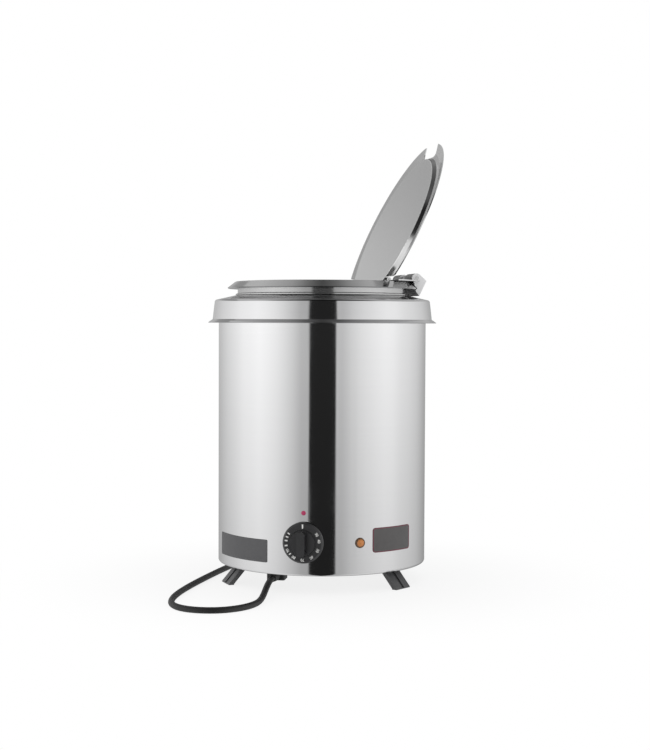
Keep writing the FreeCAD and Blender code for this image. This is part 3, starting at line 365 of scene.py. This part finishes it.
# Dial and thermostat: a moulded black knob pushed on to the steel shaft of a black switch block,
# which a bent strap holds behind the jacket. The white figures and strokes of the heat scale are
# printed on the flat of the knob's skirt.
FIGURES = [("30", 32), ("40", 8), ("50", -25), ("60", -57), ("70", -90), ("80", -122), ("90", -153)]
STROKES = [
    (90, 0.0050, 0.0017), (146, 0.0030, 0.0014), (159, 0.0032, 0.0015), (172, 0.0034, 0.0016),
    (189, 0.0034, 0.0017), (221, 0.0028, 0.0014),
]
FIGURE_SIZE = 0.0045
FIGURE_WEIGHT = 0.00008
PRINT_DEPTH = 0.00005
SCALE_RADIUS = 0.0199
DIAL_TURN = Matrix.Rotation(math.radians(-0.9), 4, "Z")
DIAL_FACE = (0, -0.13765, 0.0637)
FACE_ON = Matrix.Rotation(math.radians(90), 4, "X")
dial_plastic = moulding("dial_plastic", (0.025, 0.025, 0.0265), 0.32, 2200, 0.1)
dress(["thermostat_knob", "thermostat"], dial_plastic)
dress(["thermostat_shaft", "thermostat_strap"], pin_steel)
mark_paint = moulding("mark_paint", (0.78, 0.78, 0.76), 0.45, 1500, 0.05)
marks = bmesh.new()
for text, angle in FIGURES:
    figure = bpy.data.curves.new("figure", "FONT")
    figure.body = text
    figure.size = FIGURE_SIZE
    figure.offset = FIGURE_WEIGHT
    figure.extrude = PRINT_DEPTH
    figure.align_x = "CENTER"
    figure.align_y = "CENTER"
    holder = bpy.data.objects.new("figure", figure)
    shape = bpy.data.meshes.new_from_object(holder)
    around_dial = Matrix.Rotation(math.radians(angle - 90), 4, "Z")
    shape.transform(around_dial @ Matrix.Translation((0, SCALE_RADIUS, 0)))
    marks.from_mesh(shape)
    bpy.data.objects.remove(holder)
    bpy.data.curves.remove(figure)
    bpy.data.meshes.remove(shape)
for angle, length, width in STROKES:
    around_dial = Matrix.Rotation(math.radians(angle - 90), 3, "Z")
    corners = []
    for lift in (-PRINT_DEPTH, PRINT_DEPTH):
        for across, outward in ((-0.5, -0.5), (0.5, -0.5), (0.5, 0.5), (-0.5, 0.5)):
            spot = Vector((across * width, SCALE_RADIUS + outward * length, lift))
            corners.append(marks.verts.new(around_dial @ spot))
    for face in ((3, 2, 1, 0), (4, 5, 6, 7), (0, 1, 5, 4), (1, 2, 6, 5), (2, 3, 7, 6), (3, 0, 4, 7)):
        marks.faces.new([corners[index] for index in face])
marks_mesh = bpy.data.meshes.new("dial_marks")
marks.to_mesh(marks_mesh)
marks.free()
marks_mesh.transform(DIAL_TURN @ Matrix.Translation(DIAL_FACE) @ FACE_ON)
dial_marks = bpy.data.objects.new("dial_marks", marks_mesh)
scene.collection.objects.link(dial_marks)
marks_mesh.materials.append(mark_paint)
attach(dial_marks, "knob")

# Red spot: the painted zero mark on the jacket straight above the dial, slightly raised as a
# drop of enamel is.
SPOT_RINGS = [(0.0011, 0.00032), (0.0021, 0.00024), (0.0027, 0.00008), (0.0028, -0.00002)]
SPOT_TOP = 0.00034
SPOT_SIDES = 32
SPOT_PLACE = (0, -0.13105, 0.0988)
JACKET_RADIUS = 0.131
spot_enamel = moulding("spot_enamel", (0.43, 0.032, 0.11), 0.3, 1200, 0.05)
spot_shape = bmesh.new()
top = spot_shape.verts.new((0, 0, SPOT_TOP))
inner_circle = None
for radius, lift in SPOT_RINGS:
    circle = []
    for step in range(SPOT_SIDES):
        angle = 2 * math.pi * step / SPOT_SIDES
        side = radius * math.cos(angle)
        sag = (JACKET_RADIUS**2 - side**2) ** 0.5 - JACKET_RADIUS
        circle.append(spot_shape.verts.new((side, radius * math.sin(angle), lift + sag)))
    for step in range(SPOT_SIDES):
        beyond = (step + 1) % SPOT_SIDES
        if inner_circle is None:
            spot_shape.faces.new((top, circle[step], circle[beyond]))
        else:
            spot_shape.faces.new((inner_circle[step], circle[step], circle[beyond], inner_circle[beyond]))
    inner_circle = circle
spot_shape.faces.new(list(reversed(inner_circle)))
spot_mesh = bpy.data.meshes.new("red_spot")
spot_shape.to_mesh(spot_mesh)
spot_shape.free()
spot_mesh.polygons.foreach_set("use_smooth", [True] * len(spot_mesh.polygons))
spot_mesh.transform(DIAL_TURN @ Matrix.Translation(SPOT_PLACE) @ FACE_ON)
red_spot = bpy.data.objects.new("red_spot", spot_mesh)
scene.collection.objects.link(red_spot)
spot_mesh.materials.append(spot_enamel)
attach(red_spot, "kettle")

# Pilot lamp: a domed amber lens in a smoked amber bezel, pushed into the jacket from outside.
# The holder behind it is of the same black plastic as the dial.
dress(["lamp_holder"], dial_plastic)
smoked_amber = moulding("smoked_amber", (0.11, 0.055, 0.022), 0.24, 900, 0.05)
dress(["lamp_bezel"], smoked_amber)
lamp_amber = moulding("lamp_amber", (0.56, 0.21, 0.055), 0.22, 900, 0.05)
dress(["lamp_lens"], lamp_amber)

# Badge plate: a thin dark plate glued on the jacket, left bare, with a dark red enamel border
# round its edge.
BADGE_TURN = math.radians(-40.2)
BADGE_MIDDLE = 0.0644
BADGE_CORNER = 0.0036
CORNER_ACROSS = 0.0266
CORNER_UP = 0.0113
CORNER_STEPS = 8
EDGE_STEPS = 16
BORDER_SECTION = [(0.00002, 0.00042), (0.00002, 0.00053), (0.00125, 0.00053), (0.00125, 0.00042)]
badge_face = moulding("badge_face", (0.079, 0.075, 0.075), 0.45, 1500, 0.05)
dress(["badge_plate"], badge_face)
border_enamel = moulding("border_enamel", (0.14, 0.028, 0.045), 0.4, 1500, 0.05)
border_shape = bmesh.new()
loops = []
for inset, lift in BORDER_SECTION:
    corner = BADGE_CORNER - inset
    outline = []
    for quarter, (side, rise) in enumerate(((1, 1), (-1, 1), (-1, -1), (1, -1))):
        for step in range(CORNER_STEPS + 1):
            angle = math.radians(90 * (quarter + step / CORNER_STEPS))
            along = side * CORNER_ACROSS + corner * math.cos(angle)
            outline.append((along, rise * CORNER_UP + corner * math.sin(angle)))
        if side == rise:
            for step in range(1, EDGE_STEPS):
                along = side * CORNER_ACROSS * (1 - 2 * step / EDGE_STEPS)
                outline.append((along, rise * (CORNER_UP + corner)))
    radius = JACKET_RADIUS + lift
    loop = []
    for along, height in outline:
        turn = math.asin(along / JACKET_RADIUS) + BADGE_TURN
        spot = (radius * math.cos(turn), radius * math.sin(turn), BADGE_MIDDLE + height)
        loop.append(border_shape.verts.new(spot))
    loops.append(loop)
loop_length = len(loops[0])
for first, second in zip(loops, loops[1:] + loops[:1]):
    for step in range(loop_length):
        beyond = (step + 1) % loop_length
        border_shape.faces.new((first[step], first[beyond], second[beyond], second[step]))
border_mesh = bpy.data.meshes.new("badge_border")
border_shape.to_mesh(border_mesh)
border_shape.free()
badge_border = bpy.data.objects.new("badge_border", border_mesh)
scene.collection.objects.link(badge_border)
border_mesh.materials.append(border_enamel)
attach(badge_border, "kettle")

# Notice plate: a thin plate of grey satin plastic, curved and glued on the left of the jacket.
# It is left bare.
notice_face = moulding("notice_face", (0.086, 0.086, 0.09), 0.5, 1500, 0.05)
dress(["notice_plate"], notice_face)

# Drip collar: a ring spun from stainless sheet, carried by the bath's flange over the jacket's top
# edge. It has the same polish as the jacket.
collar_steel = steel("collar_steel", (0.60, 0.60, 0.605), 0.08, (6, 6, 900), 0.02)
dress(["drip_collar"], collar_steel)

# Lift-out pot: deep-drawn stainless steel that hangs in the bath, with a bead that sits on the
# collar. The rim is polished; under it the neck is a little less metallic and its colour is painted
# darker, as painted shade beneath the rim. The inside has a soft satin finish.
WALL_EDGE = (0.1064, 0.1070)
RIM_EDGE = (0.3662, 0.3668)
INSIDE_ROUGHNESS = 0.2
INSIDE_METAL = 0.5
NECK_METAL = 0.8
NECK_PAINTED_SHADE_TONE = 0.76


def retouch(material, tone, added_roughness):
    """Scales a steel's colour and adds to its roughness, each by its own mask."""
    tree = material.node_tree
    shader = tree.nodes["Principled BSDF"]
    colour = shader.inputs["Base Color"].links[0].from_socket
    roughness = shader.inputs["Roughness"].links[0].from_socket
    tree.links.new(scaled(tree, colour, tone), shader.inputs["Base Color"])
    tree.links.new(reckon(tree, "ADD", roughness, added_roughness), shader.inputs["Roughness"])


pot_steel = steel("pot_steel", (0.62, 0.62, 0.62), 0.13, (8, 8, 700), 0.012)
tree = pot_steel.node_tree
where = tree.nodes.new("ShaderNodeTexCoord")
apart = tree.nodes.new("ShaderNodeSeparateXYZ")
tree.links.new(where.outputs["Object"], apart.inputs[0])
flat = vector_node(tree, "MULTIPLY", where.outputs["Object"], (1, 1, 0)).outputs[0]
reach = vector_node(tree, "LENGTH", flat).outputs["Value"]
rim = between(tree, apart.outputs["Z"], *RIM_EDGE, 0, 1)
below_rim = between(tree, apart.outputs["Z"], *RIM_EDGE, 1, 0)
wall_roughness = between(tree, reach, *WALL_EDGE, INSIDE_ROUGHNESS, 0)
wall_metal = between(tree, reach, *WALL_EDGE, INSIDE_METAL, NECK_METAL)
# Outside the wall and below the rim the colour is painted darker: painted shade under the rim.
wall_painted_shade = between(tree, reach, *WALL_EDGE, 1, NECK_PAINTED_SHADE_TONE)
pot_metal = reckon(tree, "MAXIMUM", wall_metal, rim)
tree.links.new(pot_metal, tree.nodes["Principled BSDF"].inputs["Metallic"])
retouch(
    pot_steel,
    tone=reckon(tree, "MAXIMUM", wall_painted_shade, rim),
    added_roughness=reckon(tree, "MINIMUM", wall_roughness, below_rim),
)
dress(["insert_pot"], pot_steel)

# Folding cover: two leaves pressed from sheet and joined by a pin. Their flat faces have a brushed
# satin finish, and the pressed wall and the turned-down edge keep a mirror polish.
FACE_METAL = 0.7
FACE_SQUARENESS = (0.9, 0.94)
UPWARDS = Vector((0, 0, 1))
fold = next(joint for joint in frame["joints"] if joint["name"] == "flap_fold")
flap_opening = Matrix.Rotation(math.radians(-fold["range_deg"][0]), 3, Vector(fold["axis"]))
for leaf, face_normal in (("cover_flap", flap_opening @ UPWARDS), ("cover_rear", UPWARDS)):
    cover_steel = steel(leaf + "_steel", (0.65, 0.65, 0.65), 0.12, (700, 20, 700), 0.03)
    tree = cover_steel.node_tree
    where = tree.nodes.new("ShaderNodeTexCoord")
    facing = vector_node(tree, "DOT_PRODUCT", where.outputs["Normal"], face_normal).outputs["Value"]
    squareness = reckon(tree, "MULTIPLY", facing, facing)
    face_metal = between(tree, squareness, *FACE_SQUARENESS, 1, FACE_METAL)
    tree.links.new(face_metal, tree.nodes["Principled BSDF"].inputs["Metallic"])
    dress([leaf], cover_steel)

# Rim hinge: a satin-plated cast clamp that grips the pot's rim, with a barrel painted dark as a painted
# reflection in its polish, a dark polished leaf rolled round the steel pin, and rivets that hold the leaf
# to the rear cover.
BARREL_EDGE = (0.0063, 0.0065)
END_FACE_EDGE = (0.3, 0.5)
BARREL_PAINTED_REFLECTION_TONE = 0.07
BARREL_ROUGHNESS = -0.08
hinge = next(joint for joint in frame["joints"] if joint["name"] == "cover_hinge")
hinge_plating = steel("hinge_plating", (0.84, 0.84, 0.845), 0.3, (300, 300, 300), 0.04, metal=0.25)
tree = hinge_plating.node_tree
where = tree.nodes.new("ShaderNodeTexCoord")
offset = vector_node(tree, "SUBTRACT", where.outputs["Object"], hinge["pos_m"]).outputs[0]
lever = vector_node(tree, "CROSS_PRODUCT", offset, hinge["axis"]).outputs[0]
from_pin = vector_node(tree, "LENGTH", lever).outputs["Value"]
endwise = vector_node(tree, "DOT_PRODUCT", where.outputs["Normal"], hinge["axis"]).outputs["Value"]
near_pin = between(tree, from_pin, *BARREL_EDGE, 1, 0)
round_face = between(tree, reckon(tree, "MULTIPLY", endwise, endwise), *END_FACE_EDGE, 1, 0)
barrel = reckon(tree, "MULTIPLY", near_pin, round_face)
# The barrel's colour is darkened as a painted reflection of dark surroundings in its polish, and its
# roughness is lowered.
retouch(
    hinge_plating,
    tone=between(tree, barrel, 0, 1, 1, BARREL_PAINTED_REFLECTION_TONE),
    added_roughness=between(tree, barrel, 0, 1, 0, BARREL_ROUGHNESS),
)
dress(["hinge_bracket", "leaf_rivets"], hinge_plating)
leaf_steel = steel("leaf_steel", (0.22, 0.22, 0.225), 0.12, (300, 20, 300), 0.03)
dress(["hinge_leaf"], leaf_steel)
dress(["hinge_pin", "fold_pin"], pin_steel)

# Mains lead: round black rubber lead from the boot down to the table, then put away in a tied coil
# behind the kettle, with a moulded plug with brass pins on its end. The polished jacket shows no
# image of it.
LEAD_ROUTE = [
    (-0.0435, -0.1100, 0.0162), (-0.0435, -0.1260, 0.0162), (-0.0434, -0.1470, 0.0122),
    (-0.0430, -0.1680, 0.0066), (-0.0426, -0.1910, 0.0038), (-0.0455, -0.2150, 0.0038),
    (-0.0560, -0.2370, 0.0038), (-0.0755, -0.2540, 0.0038), (-0.1020, -0.2575, 0.0038),
    (-0.1260, -0.2465, 0.0038), (-0.1405, -0.2235, 0.0038), (-0.1465, -0.1930, 0.0038),
    (-0.1480, -0.1570, 0.0038), (-0.1462, -0.1175, 0.0038), (-0.1428, -0.0770, 0.0038),
    (-0.1385, -0.0370, 0.0038), (-0.1335, 0.0040, 0.0038), (-0.1275, 0.0450, 0.0038),
    (-0.1205, 0.0850, 0.0038), (-0.1125, 0.1225, 0.0038), (-0.1037, 0.1565, 0.0040),
    (-0.0953, 0.1830, 0.0043), (-0.0865, 0.202744, 0.0045), (-0.0785, 0.2166, 0.0045),
]
LEAD_RADIUS = 0.0037
COIL_MIDDLE = (-0.034963, 0.200009)
COIL_RADIUS = 0.046
COIL_START = 150
COIL_FLOOR = 0.0045
TURN_PITCH = 0.008
LAYER_TURNS = 4 / 3
CLIMB_TURNS = 0.5
POINTS_PER_TURN = 24
COIL_LEAVES = (0.0074, 0, 0)
TAIL_ROUTE = [(0.011, 0, 0), (0.026, 0.0005, 0.0031), (0.041, 0, 0.0062), (0.052, 0, 0.0062)]
lead_rubber = moulding("lead_rubber", (0.012, 0.012, 0.012), 0.5, 1500, 0.15)
dress(["lead_outlet", "cord_boot", "cord_tie", "mains_plug"], lead_rubber)
dress(["plug_pins"], feeler_brass)
lead_points = [Vector(point) for point in LEAD_ROUTE]
coil_turns = 2 * LAYER_TURNS + CLIMB_TURNS
inner_radius = COIL_RADIUS - TURN_PITCH * LAYER_TURNS
for count in range(round(coil_turns * POINTS_PER_TURN) + 1):
    turns = count / POINTS_PER_TURN
    climb = min(max((turns - LAYER_TURNS) / CLIMB_TURNS, 0), 1)
    if turns <= LAYER_TURNS:
        radius = COIL_RADIUS - TURN_PITCH * turns
    elif turns <= LAYER_TURNS + CLIMB_TURNS:
        radius = inner_radius - TURN_PITCH * climb * CLIMB_TURNS * (1 - climb)
    else:
        radius = inner_radius + TURN_PITCH * (turns - LAYER_TURNS - CLIMB_TURNS)
    angle = math.radians(COIL_START - 360 * turns)
    across = COIL_MIDDLE[0] + radius * math.cos(angle)
    back = COIL_MIDDLE[1] + radius * math.sin(angle)
    lead_points.append(Vector((across, back, COIL_FLOOR + TURN_PITCH * climb * climb * (3 - 2 * climb))))
coil_end = lead_points[-1] + Vector(COIL_LEAVES)
lead_points.append(coil_end)
for step in TAIL_ROUTE:
    lead_points.append(coil_end + Vector(step))
lead_curve = bpy.data.curves.new("mains_lead", "CURVE")
lead_curve.dimensions = "3D"
lead_curve.bevel_depth = LEAD_RADIUS
lead_curve.bevel_resolution = 6
lead_curve.use_fill_caps = True
lead_spline = lead_curve.splines.new("NURBS")
lead_spline.points.add(len(lead_points) - 1)
for spline_point, point in zip(lead_spline.points, lead_points):
    spline_point.co = (*point, 1)
lead_spline.order_u = 3
lead_spline.use_endpoint_u = True
lead_spline.resolution_u = 4
mains_lead = bpy.data.objects.new("mains_lead", lead_curve)
scene.collection.objects.link(mains_lead)
lead_curve.materials.append(lead_rubber)
for piece in (mains_lead, nodes["mains_plug"], nodes["plug_pins"], nodes["cord_tie"]):
    piece.visible_glossy = False
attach(mains_lead, "kettle")
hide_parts("mains_cord", "cord_coil", "cord_tail")
